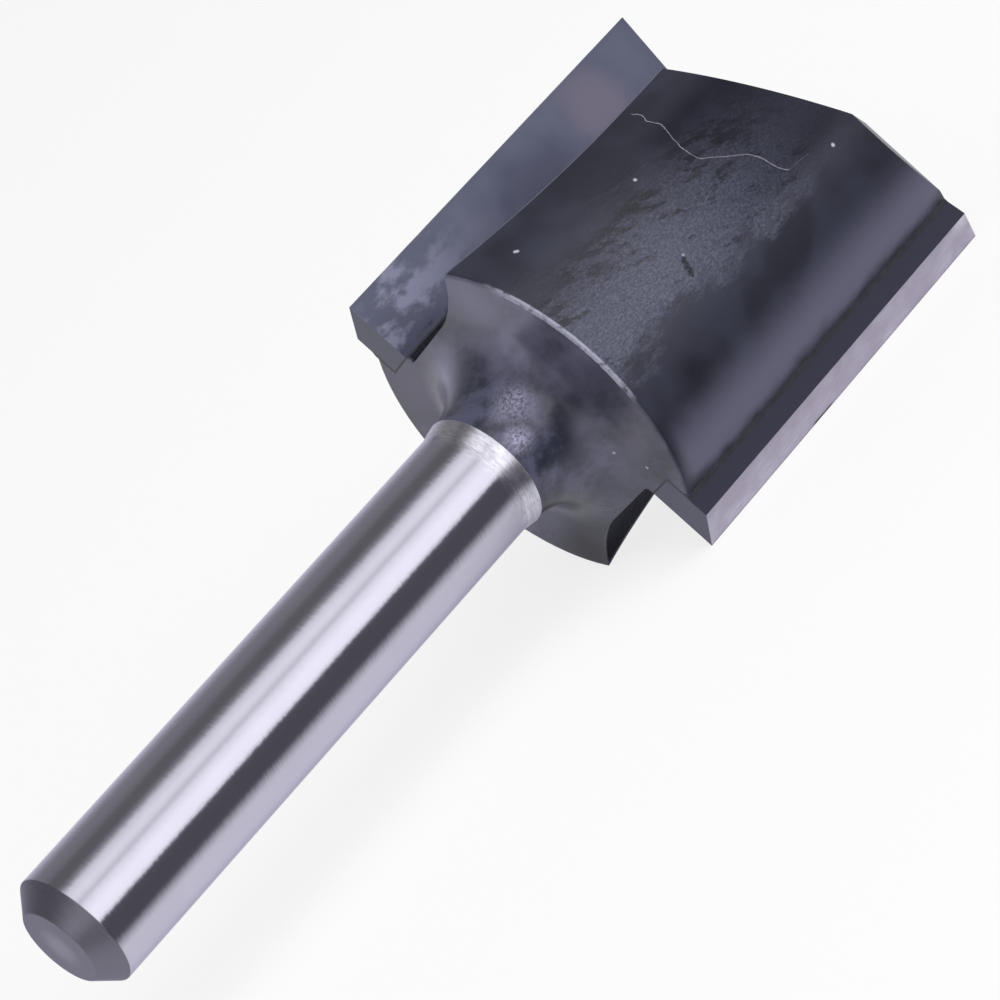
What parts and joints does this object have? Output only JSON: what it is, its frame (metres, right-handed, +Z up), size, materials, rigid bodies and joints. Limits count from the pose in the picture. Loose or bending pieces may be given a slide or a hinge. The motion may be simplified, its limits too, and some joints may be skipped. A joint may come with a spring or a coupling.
{
  "type": "router bit",
  "caption": "Straight router bit with a plain round shank, a wide fluted steel body and brazed carbide cutting edges, lying on its side.",
  "frame": {"origin": "on the ground, under the centre of the bounding box of the bit as it lies", "axes": "+X along the tool axis from the free end of the shank to the cutting end, +Z up"},
  "size_m": [0.0576, 0.019, 0.0177],
  "materials": {
    "body_steel": "ground bright on the shank, blackened and satin on the neck and cutter body",
    "carbide": "ground satin tungsten carbide",
    "braze": "dull silver brazing metal, darkened by heat"
  },
  "bodies": {
    "root": {"cutter_body": "body_steel", "carbide_tip_1": "carbide", "carbide_tip_2": "carbide", "braze_layer_1": "braze", "braze_layer_2": "braze"}
  },
  "joints": []
}
